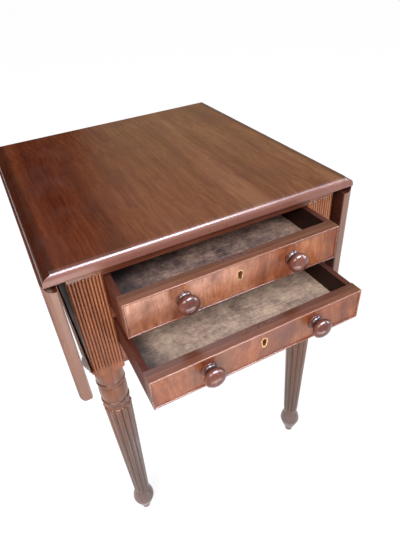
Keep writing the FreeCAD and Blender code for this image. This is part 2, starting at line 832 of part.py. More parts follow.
def knob(name, x, face, height):
    """A turned knob: base, waisted neck, mushroom head with a low dome, and the shank in the drawer front."""
    body = new_body(name + "_turning")
    rim = s.knob_head_radius - s.knob_rim_inset
    foot_top = s.knob_base_radius, s.knob_base_thickness
    waist = s.knob_neck_radius, s.knob_neck_height
    brim = s.knob_head_radius, s.knob_head_height
    rim_edge = rim, s.knob_rim_height

    def between(start, end, rise):
        across, along = end[0] - start[0], end[1] - start[1]
        return arc_radius(root(across * across + along * along) / 2, rise)

    revolve(body, "Revolution", [
        (0, -s.knob_shank_length),
        (s.knob_shank_radius, -s.knob_shank_length),
        (s.knob_shank_radius, 0),
        (s.knob_base_radius, 0),
        (*foot_top, "right", between(foot_top, waist, s.knob_foot_hollow)),
        (*waist, "right", between(waist, brim, s.knob_neck_hollow)),
        (*brim, "left", between(brim, rim_edge, s.knob_rim_swell)),
        (*rim_edge, "left", arc_radius(rim, s.knob_length - s.knob_rim_height)),
        (0, s.knob_length),
    ])
    body.Placement = Placement(Vector(), AGAINST_Y)
    set_base(body, x, face, height)
    return node(body, name)


def drawer(word, opening_bottom, opening_height, out):
    """A drawer with its boards, beads, knobs and lock, drawn out by its rest opening."""
    name = word + "_drawer"
    face = front_face - out
    behind = face + s.drawer_front_thickness
    end = face + s.drawer_length
    half = opening_half - s.drawer_gap
    base = opening_bottom + s.slide_clearance
    crown = opening_bottom + opening_height - s.drawer_gap
    bead = s.cockbead_thickness
    centre = (base + crown) / 2
    side_top = crown - s.drawer_side_drop
    inside = half - s.drawer_side_thickness
    panel = base + s.drawer_bottom_raise, base + s.drawer_bottom_raise + s.drawer_bottom_thickness
    panel_half = inside + s.drawer_groove
    panel_front = behind - s.drawer_groove

    core_half = half - bead
    core = box(name + "_core", (-core_half, core_half), (face, behind), (base + bead, crown - bead))
    groove = box(name + "_front_groove", (-inside, inside), (panel_front, behind), panel)
    panel_board = box(name + "_bottom_panel", (-panel_half, panel_half), (panel_front, end), panel)
    notches = []
    for side in (LEFT, RIGHT):
        corner = span(side, inside, panel_half)
        notches.append(box(f"{name}_corner_{SIDE_NAME[side]}", corner, (panel_front, behind), panel))
    node(cut(name + "_bottom_board", panel_board, notches), name + "_bottom")

    laps = []
    for side in (LEFT, RIGHT):
        lap = span(side, inside, core_half)
        tail_y = behind - s.drawer_lap, behind
        tail_z = base + bead, crown - bead
        laps.append(box(f"{name}_lap_{SIDE_NAME[side]}", lap, tail_y, tail_z))
        board = box(f"{name}_side_board_{SIDE_NAME[side]}", span(side, inside, half), (behind, end),
                    (base, side_top))
        tail = box(f"{name}_tail_{SIDE_NAME[side]}", lap, tail_y, tail_z)
        slot = box(f"{name}_slot_{SIDE_NAME[side]}", span(side, inside, panel_half), (behind, end), panel)
        whole = fuse(f"{name}_side_whole_{SIDE_NAME[side]}", [board, tail])
        node(cut(f"{name}_side_{SIDE_NAME[side]}", whole, [slot]), f"{name}_side_{SIDE_NAME[side]}")

    node(box(name + "_back", (-inside, inside), (end - s.drawer_back_thickness, end),
             (panel[1], side_top - s.drawer_back_drop)), name + "_back")

    lock_half = s.lock_width / 2
    lock_front = behind - s.lock_depth
    lock_z = crown - s.lock_height, crown
    lock_room = box(name + "_lock_room", (-lock_half, lock_half), (lock_front, behind), lock_z)
    eye_height = centre + s.keyhole_rise
    key_way = keyhole(name + "_key_way", face, s.drawer_front_thickness, eye_height, 0)
    holes = []
    for side in (LEFT, RIGHT):
        x = s.knob_spacing / 2 * side
        holes.append(rod(f"{name}_knob_hole_{SIDE_NAME[side]}", s.knob_shank_radius, s.knob_shank_length,
                         (x, face, centre + s.knob_rise), ALONG_Y))
        knob(f"{name}_knob_{SIDE_NAME[side]}", x, face, centre + s.knob_rise)
    node(cut(name + "_front", core, [groove, lock_room, key_way] + laps + holes), name + "_front")

    proud = face - s.cockbead_proud
    bolt_half = s.bolt_width / 2
    slack = s.bolt_clearance
    bolt_y = lock_front + s.lock_wall + slack, behind - s.lock_wall - slack
    way_x = -bolt_half - slack, bolt_half + slack
    way_y = lock_front + s.lock_wall, behind - s.lock_wall
    top_bead = box(name + "_bead_top", (-half, half), (proud, behind), (crown - bead, crown))
    strips = [cut(name + "_bead_top_let_in", top_bead, [lock_room]),
              box(name + "_bead_bottom", (-half, half), (proud, behind), (base, base + bead))]
    for side in (LEFT, RIGHT):
        strips.append(box(f"{name}_bead_{SIDE_NAME[side]}", span(side, core_half, half), (proud, behind),
                          (base + bead, crown - bead)))
    node(group(name + "_cockbeads", strips), name + "_cockbeads")

    ring = keyhole(name + "_escutcheon_outer", face - s.escutcheon_proud, s.escutcheon_depth, eye_height, 0)
    eye = keyhole(name + "_escutcheon_eye", face - s.escutcheon_proud, s.escutcheon_depth, eye_height,
                  s.escutcheon_wall)
    node(cut(name + "_escutcheon", ring, [eye]), name + "_escutcheon")

    case = box(name + "_lock_box", (-lock_half, lock_half), (lock_front, behind), lock_z)
    bolt_low = lock_z[1] - slack - s.bolt_height
    way = box(name + "_bolt_way", way_x, way_y, (lock_z[0] + s.lock_wall, lock_z[1]))
    key_eye = keyhole(name + "_case_eye", lock_front, s.lock_wall, eye_height, s.escutcheon_wall)
    node(cut(name + "_lock_case", case, [way, key_eye]), name + "_lock_case")
    node(box(word + "_lock_bolt", (-bolt_half, bolt_half), bolt_y, (bolt_low, bolt_low + s.bolt_height)),
         word + "_lock_bolt")

    mortise_y = [place + out for place in way_y]
    return box(word + "_bolt_mortise", way_x, mortise_y,
               (opening_bottom + opening_height, opening_bottom + opening_height + s.bolt_travel))


# Assembly

upper_mortise = drawer("upper", upper_opening_bottom, s.upper_opening_height, s.upper_drawer_out)
lower_mortise = drawer("lower", lower_opening_bottom, s.lower_opening_height, s.lower_drawer_out)

rail_y = front_face + s.rail_setback, front_face + s.rail_setback + s.rail_depth
back_y = back_face - s.rail_setback - s.back_thickness, back_face - s.rail_setback
rails = [
    cross_rail("front_top_rail", rail_y, (upper_opening_top, top_under), [upper_mortise]),
    cross_rail("drawer_divider_rail", rail_y, (lower_opening_top, upper_opening_bottom), [lower_mortise]),
    cross_rail("front_bottom_rail", rail_y, (apron_bottom, lower_opening_bottom)),
]
back_tenons = cross_rail("back_panel", back_y, (apron_bottom, top_under))
for side in (LEFT, RIGHT):
    side_tenons = side_panel(side)
    leg(side, FRONT, [tenons[side] for tenons in rails] + [side_tenons[FRONT]])
    leg(side, BACK, [back_tenons[side], side_tenons[BACK]])
    fly_support(side)
    side_bead(side)
top_screws = drawer_supports()

hinges = hinges_and_leaf(LEFT) + hinges_and_leaf(RIGHT)
hinge_screws = [item for pair in hinges for item in pair.top_screws]
node(group("hinge_screws_top", hinge_screws), "hinge_screws_top")
node(cut("table_top", table_top(), [item.recesses for item in hinges] + hinge_screws + top_screws), "table_top")

doc.recompute()
failed = [item.Name for item in doc.Objects if "Invalid" in item.State or "Error" in item.State]
if failed:
    raise RuntimeError("objects that failed: " + ", ".join(failed))
for piece in nodes:
    if piece.Shape.isNull() or not piece.Shape.isValid() or not piece.Shape.Solids:
        raise RuntimeError("bad shape: " + piece.Label)

os.makedirs("parts", exist_ok=True)
for piece in nodes:
    piece.Shape.exportStep(f"parts/{piece.Label}.step")
    print(f"{piece.Label}: {len(piece.Shape.Solids)} solids, {piece.Shape.Volume:.0f} mm3")
print(len(nodes), "nodes")
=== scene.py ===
# %% [markdown]
# # A small drop-leaf table in mahogany
# The joiner's model comes first: boards, legs, drawers and hinges, each in its place and in metres. It could be
# modelled again here, but a fixed frame keeps every finish on the real shape. X runs to the right, Y to the back
# and Z up from the floor.

import bpy
import numpy as np
from mathutils import Matrix, Vector


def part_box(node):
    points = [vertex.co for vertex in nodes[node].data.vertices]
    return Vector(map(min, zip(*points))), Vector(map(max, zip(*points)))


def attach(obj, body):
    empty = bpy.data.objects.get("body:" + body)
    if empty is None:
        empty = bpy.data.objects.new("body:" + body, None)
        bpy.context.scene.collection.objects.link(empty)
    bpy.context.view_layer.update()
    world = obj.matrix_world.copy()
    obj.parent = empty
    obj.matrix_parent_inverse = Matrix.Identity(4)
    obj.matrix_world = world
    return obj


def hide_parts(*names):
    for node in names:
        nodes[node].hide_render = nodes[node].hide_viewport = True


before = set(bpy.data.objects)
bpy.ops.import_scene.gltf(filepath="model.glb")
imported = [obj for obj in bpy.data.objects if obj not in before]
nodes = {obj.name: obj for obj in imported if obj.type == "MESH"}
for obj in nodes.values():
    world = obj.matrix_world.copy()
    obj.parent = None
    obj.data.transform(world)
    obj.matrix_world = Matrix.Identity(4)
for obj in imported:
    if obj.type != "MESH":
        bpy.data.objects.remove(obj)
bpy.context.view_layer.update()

# %% [markdown]
# ## Camera
# The picture is taken from a little above eye level of someone standing close, so the uprights lean in towards the
# floor. The view could be set by eye, but three vanishing points give the place and the turn exactly: the columns of
# the turn are the picture's right, its up, and the way back to the viewer.

# %% Camera
PICTURE_HEIGHT, FOCAL_PIXELS, SENSOR_MM = 533, 440.0, 36.0
CAMERA_PLACE = (-0.2495, -0.6558, 1.0200)
PICTURE_RIGHT = (0.8870, -0.4574, -0.0635)
PICTURE_UP = (0.3198, 0.5094, 0.7989)
TO_VIEWER = (-0.3331, -0.7290, 0.5981)
NEAREST, FARTHEST = 0.01, 100.0

lens = bpy.data.cameras.new("studio_camera")
lens.sensor_width = SENSOR_MM
lens.lens = FOCAL_PIXELS / PICTURE_HEIGHT * SENSOR_MM
lens.clip_start, lens.clip_end = NEAREST, FARTHEST
camera = bpy.data.objects.new("studio_camera", lens)
camera_turn = Matrix((PICTURE_RIGHT, PICTURE_UP, TO_VIEWER)).transposed().to_4x4()
camera.matrix_world = Matrix.Translation(CAMERA_PLACE) @ camera_turn
bpy.context.scene.collection.objects.link(camera)
bpy.context.scene.camera = camera
bpy.context.scene.view_settings.view_transform = "Standard"
print("camera lens, mm:", round(lens.lens, 2))

# %% [markdown]
# ## Colours and nodes
# Paint charts and screens give colours as sRGB hex values, while shaders work on linear light, so one function turns
# one into the other. Materials could be clicked together in the editor. Here one small function adds a node with its
# settings and its links, and a few more stand for the nodes that every finish needs, so that a whole finish reads from
# top to bottom.

# %% Colour and node helpers


def linear(hex_colour):
    """The sRGB curve undone: below 0.04045 a straight line, above it a power of 2.4."""
    channels = np.array([int(hex_colour[i:i + 2], 16) for i in (1, 3, 5)]) / 255
    low, high = channels / 12.92, ((channels + 0.055) / 1.055) ** 2.4
    return (*np.where(channels <= 0.04045, low, high).tolist(), 1.0)


def add(tree, kind, sockets=None, **settings):
    """One node: its settings, and its sockets, each set to a value or linked to another node's output."""
    item = tree.nodes.new("ShaderNode" + kind)
    for key, value in settings.items():
        setattr(item, key, value)
    for key, value in (sockets or {}).items():
        if isinstance(value, bpy.types.NodeSocket):
            tree.links.new(value, item.inputs[key])
        else:
            item.inputs[key].default_value = value
    return item


def new_material(name):
    """An empty material with only its output node."""
    material = bpy.data.materials.new(name)
    material.use_nodes = True
    material.node_tree.nodes.clear()
    return material, material.node_tree, add(material.node_tree, "OutputMaterial")


def graded(tree, value, places, colours):
    """A value turned into colours, given as hex values at rising places."""
    ramp = add(tree, "ValToRGB", {0: value})
    elements = ramp.color_ramp.elements
    for _ in range(len(colours) - len(elements)):
        elements.new(1.0)
    for element, place, hex_colour in zip(elements, places, colours):
        element.position = place
        element.color = linear(hex_colour)
    return ramp.outputs[0]


def carried(tree, value, span, low, high):
    """A value that goes from low to high in a straight line while another runs over a span."""
    return add(tree, "MapRange", {0: value, 1: span[0], 2: span[1], 3: low, 4: high}).outputs[0]


def blend(tree, share, first, second):
    """Two colours mixed: a share of 0 gives the first and 1 the second."""
    return add(tree, "Mix", {0: share, 6: first, 7: second}, data_type="RGBA").outputs[2]


def between(tree, share, first, second):
    """Two values mixed: a share of 0 gives the first and 1 the second."""
    return add(tree, "Mix", {0: share, 2: first, 3: second}, data_type="FLOAT").outputs[0]


def math(tree, operation, *values):
    """One sum on one or two values."""
    return add(tree, "Math", dict(enumerate(values)), operation=operation).outputs[0]


def along(tree, vector, axis):
    """A vector's share along X, Y or Z."""
    return add(tree, "SeparateXYZ", {0: vector}).outputs[axis]


print("white is", linear("#FFFFFF")[0], "and mid grey is", round(linear("#808080")[0], 3))

# %% [markdown]
# ## Stage helpers
# The stage is what stands round the table and isn't part of it: a floor, two screens and some lamps. A studio has
# surfaces that are seen and light that only falls on things. Render layers could keep the two apart; the kind of each
# ray tells them apart in the material itself.

# %% Stage helpers


def seen_or_mirrored(tree):
    """1 for rays from the camera, from reflections and through glass; 0 for the rays that carry soft light."""
    ray = add(tree, "LightPath").outputs
    seen = math(tree, "MAXIMUM", ray["Is Camera Ray"], ray["Is Glossy Ray"])
    return math(tree, "MAXIMUM", seen, ray["Is Transmission Ray"])


def stage_piece(name, points, faces, material):
    """A piece of the stage, which isn't part of the table."""
    mesh = bpy.data.meshes.new(name)
    mesh.from_pydata(points.tolist(), [], faces)
    mesh.materials.append(material)
    piece = bpy.data.objects.new(name, mesh)
    bpy.context.scene.collection.objects.link(piece)
    return piece


def lamp(name, place, target, size, watts, colour):
    """A rectangular soft box at place that faces target."""
    data = bpy.data.lights.new(name, "AREA")
    data.shape = "RECTANGLE"
    data.size, data.size_y = size
    data.energy = watts
    data.color = linear(colour)[:3]
    box = bpy.data.objects.new(name, data)
    aim = Vector(target) - Vector(place)
    box.matrix_world = Matrix.Translation(place) @ aim.to_track_quat("-Z", "Y").to_matrix().to_4x4()
    bpy.context.scene.collection.objects.link(box)
    return box


print("stage helpers: seen_or_mirrored, stage_piece, lamp")

# %% [markdown]
# ## Floor and world
# The table stands on a plain white floor in a pale room. The floor glows white to the camera and to reflections, and a
# share of it stays an ordinary matt surface, so that the table keeps a faint shadow. To soft light it is matt alone: a
# floor that glowed there too would light the table from below and wash out its colours.

# %% Floor and world
FLOOR_RADIUS, FLOOR_SIDES = 40.0, 64
FLOOR_MATT, FLOOR_GLOW = 0.3, 1.18
ROOM_GLOW = 0.66

floor_white, tree, output = new_material("white_floor")
matt = add(tree, "BsdfDiffuse", {"Color": linear("#F0F0F0")}).outputs[0]
glow = add(tree, "Emission", {"Color": linear("#FFFFFF"), "Strength": FLOOR_GLOW}).outputs[0]
pale = add(tree, "MixShader", {0: FLOOR_MATT, 1: glow, 2: matt}).outputs[0]
both = add(tree, "MixShader", {0: seen_or_mirrored(tree), 1: matt, 2: pale}).outputs[0]
tree.links.new(both, output.inputs["Surface"])
round_floor = np.linspace(0, 2 * np.pi, FLOOR_SIDES, endpoint=False)
rim = np.stack([np.cos(round_floor), np.sin(round_floor), np.zeros(FLOOR_SIDES)], axis=1) * FLOOR_RADIUS
stage_piece("floor", rim, [list(range(FLOOR_SIDES))], floor_white)

world = bpy.data.worlds.new("studio")
bpy.context.scene.world = world
world.use_nodes = True
world.node_tree.nodes.clear()
tree = world.node_tree
room = add(tree, "Background", {"Color": linear("#F6F6FF"), "Strength": ROOM_GLOW}).outputs[0]
white = add(tree, "Background", {"Color": linear("#FFFFFF"), "Strength": 1.0}).outputs[0]
both = add(tree, "MixShader", {0: seen_or_mirrored(tree), 1: room, 2: white}).outputs[0]
add(tree, "OutputWorld", {"Surface": both})
print("floor of", FLOOR_RADIUS, "m in a pale room")

# %% [markdown]
# ## Screens
# Round the back stands a curved screen that only reflections see, dark on the left and tan on the right, as a room's
# walls would be. The room could stay white all round, but then the polished top mirrors plain white and looks like grey
# plastic.

# %% Screens
SCREEN_RADIUS, SCREEN_HEIGHT, SCREEN_COLUMNS = 4.0, 4.5, 24
# Each screen's name, its first and last degree to the right of straight back, and its tone.
SCREENS = (("dark_screen", -80, 10, "#1A1410"), ("tan_screen", 10, 75, "#BCA684"))

column = np.arange(SCREEN_COLUMNS - 1)
above = column + SCREEN_COLUMNS
panes = np.stack([column, column + 1, above + 1, above], axis=1).tolist()
for name, first, last, tone in SCREENS:
    wall, tree, output = new_material(name)
    tree.links.new(add(tree, "Emission", {"Color": linear(tone)}).outputs[0], output.inputs["Surface"])
    turn, up = np.meshgrid(np.radians(np.linspace(first, last, SCREEN_COLUMNS)), (0.0, SCREEN_HEIGHT))
    points = np.stack([SCREEN_RADIUS * np.sin(turn), SCREEN_RADIUS * np.cos(turn), up], axis=-1).reshape(-1, 3)
    screen = stage_piece(name, points, panes, wall)
    screen.visible_camera = screen.visible_diffuse = screen.visible_shadow = False
print("screens:", len(SCREENS))

# %% [markdown]
# ## Lamps
# One big soft box at the front left lights the drawers, and a faint one lifts the right. Three windows are there only
# for the gloss: they draw the white line along the top's rounded edge and the lights on the knobs. Polished legs also
# mirror bright spots of the floor, so two flat lamps lie there, which the camera doesn't see. A single strong lamp
# could give both light and gloss, but then neither could be set without the other.

# %% Lamps
# Each lamp's name, place, aim, width and height, watts and colour.
SOFT_BOXES = (
    ("front_soft_box", (-1.5, -1.6, 2.3), (0, -0.1, 0.6), (1.5, 1.2), 66, "#FFF6EC"),
    ("right_soft_box", (2.3, -0.9, 1.3), (0, 0, 0.4), (0.9, 1.4), 5, "#EEF3FF"),
)
GLOSS_WINDOWS = (
    ("gloss_window", (0.3, -1.3, 2.3), (0, -0.18, 0.7), (1.3, 1.0), 175, "#E8EEFF"),
    ("side_gloss_window", (1.9, -1.2, 1.2), (0, -0.15, 0.3), (0.5, 1.2), 40, "#E8EEFF"),
    ("far_gloss_window", (1.6, -1.4, 2.7), (0.1, -0.18, 0.7), (1.4, 1.0), 35, "#E4ECFF"),
)
FLOOR_GLARES = (
    ("floor_glare", (0.075, -1.1, 0.004), (0.075, -1.1, 1.0), (0.85, 0.5), 8.0, "#FFF4EE"),
    ("foot_glare", (-0.0865, -0.27, 0.004), (-0.0865, -0.27, 1.0), (0.07, 0.07), 0.06, "#DCE4FF"),
)

for row in SOFT_BOXES:
    lamp(*row)
for row in GLOSS_WINDOWS:
    lamp(*row).visible_diffuse = False
for row in FLOOR_GLARES:
    glare = lamp(*row)
    glare.visible_diffuse = glare.visible_camera = False
print("lamps:", len(bpy.data.lights))

# %% [markdown]
# ## Grain
# Mahogany is a red-brown hardwood. Its boards show ribbons of lighter and darker wood some centimetres wide, growth
# lines a few millimetres apart, and short dark pores along the grain. All of these lie along the board, so one set of
# coordinates, pressed together along the grain, draws them all. A photograph of a board could be pasted on, but it
# would repeat and stretch on the turned legs; a pattern in space runs through the wood as real grain does.

# %% Grain
RIBBON_MM, LINE_MM, PORE_MM, CLOUD_MM, SWAY_MM = 38.0, 5.0, 0.9, 60.0, 110.0
GRAIN_STRETCH = 16.0
STRAIGHT_SWAY, FLAME_SWAY = 14.0, 90.0
LINE_SHARE = 0.45
MM_PER_M = 1000.0


def in_millimetres(tree, place, axis="X", stretch=1.0):
    """A place in millimetres, pressed together along one axis, which stretches what is drawn there."""
    scale = [MM_PER_M] * 3
    scale["XYZ".index(axis)] /= stretch
    return add(tree, "Mapping", {"Vector": place, "Scale": scale}).outputs[0]


def noise(tree, place, size, detail, roughness=0.5):
    """Soft random values, with features of about a size."""
    sockets = {"Vector": place, "Scale": 1 / size, "Detail": detail, "Roughness": roughness}
    return add(tree, "TexNoise", sockets).outputs


def grain(tree, place, axis, figure):
    """The wood's values at a place: its tone from ribbons and growth lines, its pores, and broad patches.

    A slow noise sways the ribbons and lines: a little in straight wood, and far in figured wood.
    """
    pressed, whole = in_millimetres(tree, place, axis, GRAIN_STRETCH), in_millimetres(tree, place)
    sway = noise(tree, whole, SWAY_MM, 2.0)["Color"]
    bend = add(tree, "VectorMath", {0: sway, 1: (0.5, 0.5, 0.5)}, operation="SUBTRACT").outputs[0]
    bend = add(tree, "VectorMath", {0: bend, 3: STRAIGHT_SWAY + FLAME_SWAY * figure}, operation="SCALE").outputs[0]
    bent = add(tree, "VectorMath", {0: pressed, 1: bend}, operation="ADD").outputs[0]
    ribbons, lines = noise(tree, bent, RIBBON_MM, 3.0)[0], noise(tree, bent, LINE_MM, 4.0, 0.65)[0]
    pores, patches = noise(tree, pressed, PORE_MM, 2.0)[0], noise(tree, whole, CLOUD_MM, 4.0, 0.6)[0]
    return between(tree, LINE_SHARE, ribbons, lines), pores, patches


print("grain: ribbons of", RIBBON_MM, "mm and lines of", LINE_MM, "mm")

# %% [markdown]
# ## Mahogany
# The grain's tone picks a colour between dark and light wood. Over it come layers, some of age and some of painted
# light: a painted sheen lightens one side, old wax with painted shade darkens the carved recesses, old wax darkens the
# joints, a painted sheen lightens faces that look front or back, inner faces get painted light and shade, dust with a
# painted sheen of the floor greys the legs, and the feet carry a painted reflection of the floor. Each layer could be
# painted by hand; here each has one rule, about where it lies on the table. The shellac polish is a clear film:
# smooth, with a soft gloss, and thin over the pores.

# %% Mahogany
# Tones: old wax with painted shade, dust with a painted floor sheen, and a painted floor reflection on the feet.
WAX_AND_SHADE_TONE, DUST_AND_SHEEN, FOOT_REFLECTION = "#2A1008", "#453832", "#6C6466"
WOOD_STOPS, SHEEN_STOPS = (0.32, 0.50, 0.66), (0.34, 0.50, 0.64)
SHEEN_SHARE, PORE_SHADE, END_SHEEN_SHARE, FOOT_REFLECTION_SHARE, INNER_PAINT_SHARE = 0.85, 0.3, 0.8, 0.8, 0.85
PORE_SPAN, CLOUD_SPAN, WAX_SHADE_SPAN, END_SHEEN_SPAN = (0.56, 0.70), (0.40, 0.66), (0.1, 0.9), (0.5, 0.9)
JOINT_SPAN, FOOT_REFLECTION_SPAN, DUST_SHEEN_SPAN, INNER_SPAN = (0.224, 0.232), (0.082, 0.064), (0.0, 0.50), (-0.03, -0.1)
DUST_SHEEN_POWER = 3.0
RUBBED_SPAN, DULLED = (0.35, 0.68), 0.14
PORE_BUMP, PORE_DEPTH, SHELLAC_IOR = 0.06, 0.0004, 1.5


def dusted_and_sheened(tree, wood, level, dust_and_sheen):
    """Wood under dust and a painted sheen of the floor: most at the floor, less by the cube of the height.

    At the feet the tone turns to a grey painted reflection of the floor.
    """
    # Painted reflection of the floor: the tone turns grey on the feet, below 82 mm.
    foot_reflection = carried(tree, level, FOOT_REFLECTION_SPAN, 0.0, FOOT_REFLECTION_SHARE)
    dust = blend(tree, foot_reflection, linear(DUST_AND_SHEEN), linear(FOOT_REFLECTION))
    # Dust with a painted sheen of the floor: greyer towards the floor.
    height = math(tree, "POWER", carried(tree, level, DUST_SHEEN_SPAN, 0.0, 1.0), DUST_SHEEN_POWER)
    return blend(tree, carried(tree, height, (0.0, 1.0), dust_and_sheen, 0.0), wood, dust)


def painted_inner_faces(tree, wood, place, tones):
    """Painted light and shade: faces looking to the table's middle take one tone on the left and another on the right.

    A face looks to the middle where its normal times its place is negative along X.
    """
    normal = add(tree, "TexCoord").outputs["Normal"]
    facing = add(tree, "VectorMath", {0: normal, 1: place}, operation="MULTIPLY").outputs[0]
    inward = carried(tree, along(tree, facing, "X"), INNER_SPAN, 0.0, INNER_PAINT_SHARE)
    right = math(tree, "GREATER_THAN", along(tree, place, "X"), 0.0)
    return blend(tree, inward, wood, blend(tree, right, linear(tones[0]), linear(tones[1])))


def mahogany(name, grain_axis, tones, gloss, figure=0.0, cloud=0.0, wax_and_shade=0.0, ends=None, dust_and_sheen=0.0, sheen_tones=None,
             sheen_span=(-0.18, 0.04), joint=0.0, inner_light_and_shade=None, polish=0.5):
    """Polished mahogany whose grain runs along one axis; tones are its dark, middle and light wood.

    figure bends the growth lines into flames, cloud darkens broad patches, wax_and_shade darkens what lies deep in a
    carved recess with old wax and painted shade, ends is the tone of a painted sheen on faces that look front or back,
    and dust_and_sheen greys what is below the blocks with dust and a painted sheen of the floor, and the feet with a
    painted reflection of the floor. sheen_tones holds the three tones of a painted sheen on one side, more and more
    between the two places along X in sheen_span, and joint darkens the rule joint. inner_light_and_shade holds the
    tones of painted light and shade on inner faces on the left and on the right, and polish is the strength of the
    film's reflection.
    """
    material, tree, output = new_material(name)
    place = add(tree, "TexCoord").outputs["Object"]
    tone, pores, patches = grain(tree, place, grain_axis, figure)
    dark, wax = linear(tones[0]), linear(WAX_AND_SHADE_TONE)
    wood = graded(tree, tone, WOOD_STOPS, tones)
    # Painted sheen: one side of the board lighter, more and more between two places along X.
    if sheen_tones:
        pale = graded(tree, tone, SHEEN_STOPS, sheen_tones)
        wood = blend(tree, carried(tree, along(tree, place, "X"), sheen_span, 0.0, SHEEN_SHARE), wood, pale)
    wood = blend(tree, carried(tree, pores, PORE_SPAN, 0.0, PORE_SHADE), wood, dark)
    if cloud:
        wood = blend(tree, carried(tree, patches, CLOUD_SPAN, 0.0, cloud), wood, dark)
    # Old wax with painted shade: the deeper a point lies in a carved recess, the darker.
    if wax_and_shade:
        deep = add(tree, "Attribute", attribute_name="wax_and_shade").outputs["Fac"]
        wood = blend(tree, carried(tree, deep, WAX_SHADE_SPAN, 0.0, wax_and_shade), wood, wax)
    if joint:
        from_middle = math(tree, "ABSOLUTE", along(tree, place, "X"))
        wood = blend(tree, carried(tree, from_middle, JOINT_SPAN, 0.0, joint), wood, wax)
    # Painted sheen on the faces that look front or back.
    if ends:
        facing = math(tree, "ABSOLUTE", along(tree, add(tree, "NewGeometry").outputs["Normal"], "Y"))
        wood = blend(tree, carried(tree, facing, END_SHEEN_SPAN, 0.0, END_SHEEN_SHARE), wood, linear(ends))
    if dust_and_sheen:
        wood = dusted_and_sheened(tree, wood, along(tree, place, "Z"), dust_and_sheen)
    # Painted light and shade on the faces that look to the table's middle.
    if inner_light_and_shade:
        wood = painted_inner_faces(tree, wood, place, inner_light_and_shade)

    rough = carried(tree, patches, RUBBED_SPAN, gloss, gloss + DULLED)
    bump = add(tree, "Bump", {"Height": pores, "Strength": PORE_BUMP, "Distance": PORE_DEPTH}).outputs[0]
    surface = add(tree, "BsdfPrincipled", {"Base Color": wood, "Roughness": rough, "Normal": bump, "IOR": SHELLAC_IOR,
                                           "Specular IOR Level": polish})
    tree.links.new(surface.outputs[0], output.inputs["Surface"])
    return material


print("mahogany: a finish with", len(WOOD_STOPS), "tones and layers of age")

# %% [markdown]
# ## The table's woods
# Shellac over mahogany gives the eye a deep red-brown under a soft gloss. Fronts cut for their figure are more orange,
# and the upper one has a painted sheen on its left, as the top has on its right. The drawers' sides and backs are dark,
# with painted shade on their inner faces, and the leaves have painted light and shade on theirs. The legs grey towards
# the floor with dust and a painted sheen of the floor. Beech and pine, in the parts that no one sees, have a grain much
# like mahogany's, so the same function serves.

# %% Woods
# Each wood's grain axis, its dark, middle and light tones, its roughness, and its age and painted light.
WOODS = {
    # The top: a painted sheen on its right, and on the faces that look front or back.
    "top_mahogany": ("Y", ("#42170A", "#642E17", "#7C4424"), 0.22, dict(
        cloud=0.15, sheen_tones=("#532A16", "#724228", "#8C5E40"), joint=0.6, ends="#936257")),
    # The leaves: a painted sheen front and back; painted light on the left one's inner face, painted shade on the
    # right's.
    "leaf_mahogany": ("Y", ("#4A1D10", "#6A3522", "#855036"), 0.26, dict(
        ends="#96705F", inner_light_and_shade=("#B09080", "#3A1C18"))),
    "rail_mahogany": ("X", ("#5A2818", "#7E432C", "#965A3C"), 0.32, dict()),
    # Cockbeads: painted shade behind the nose.
    "bead_mahogany": ("X", ("#6E3C2C", "#945C46", "#B0785E"), 0.15, dict(wax_and_shade=0.85)),
    # Legs: old wax with painted shade in the reeds, and dust with a painted sheen of the floor below the blocks.
    "carved_mahogany": ("Z", ("#703A1A", "#9A5832", "#B67A50"), 0.24, dict(wax_and_shade=0.92, dust_and_sheen=0.82)),
    # Knobs: painted shade on the waist under the head.
    "turned_mahogany": ("Z", ("#40190F", "#68362A", "#885446"), 0.14, dict(wax_and_shade=0.8)),
    "figured_mahogany": ("Z", ("#5A2208", "#984D23", "#B87848"), 0.26, dict(figure=0.5, cloud=0.8)),
    # The upper front: a painted sheen on its left.
    "upper_front_mahogany": ("Z", ("#5E2408", "#A15326", "#C4824E"), 0.26, dict(
        figure=0.5, cloud=0.8, sheen_tones=("#935838", "#D89A78", "#F6C4A8"), sheen_span=(0.14, -0.16))),
    # Drawer sides and backs: near black painted shade on their inner faces.
    "dark_mahogany": ("Y", ("#301209", "#4C2012", "#603222"), 0.45, dict(
        inner_light_and_shade=("#140402", "#0E0301"), polish=0.2)),
    "aged_beech": ("Y", ("#724A32", "#98694A", "#B08462"), 0.32, dict()),
    "aged_pine": ("Y", ("#5E4326", "#86653E", "#A0804F"), 0.60, dict()),
}

finishes = {name: mahogany(name, axis, tones, gloss, **age_and_light) for name, (axis, tones, gloss, age_and_light) in WOODS.items()}
print("woods:", ", ".join(finishes))

# %% [markdown]
# ## Worn drawer bottoms
# The drawer bottoms are bare boards, grey-brown with two centuries of dust, ink and use. Their grain runs across the
# table. Stains are large soft blotches with hard little edges inside them. They could be drawn one by one, but a coarse
# pattern that sets where a stain is and a finer one that breaks its edge give the same look anywhere.

# %% Worn bottom boards
STAIN_MM, MOTTLE_MM, STREAK_MM, PATCH_MM = 70.0, 6.0, 3.2, 34.0
STREAK_STRETCH = 6.25
MOTTLE_SHARE, PATCH_SHARE = 0.5, 0.4
BOARD_STOPS = (0.385, 0.50, 0.605)
SHADE_LEAN_SPAN = (-0.17, 0.05)
STAIN_START, STAIN_GROWTH, STAIN_FULL, STAIN_SHADE = 0.62, 0.3, 0.70, 0.85
BOARD_ROUGH, BOARD_SHINE, BOARD_BUMP, BOARD_DEPTH = 0.85, 0.25, 0.25, 0.0006


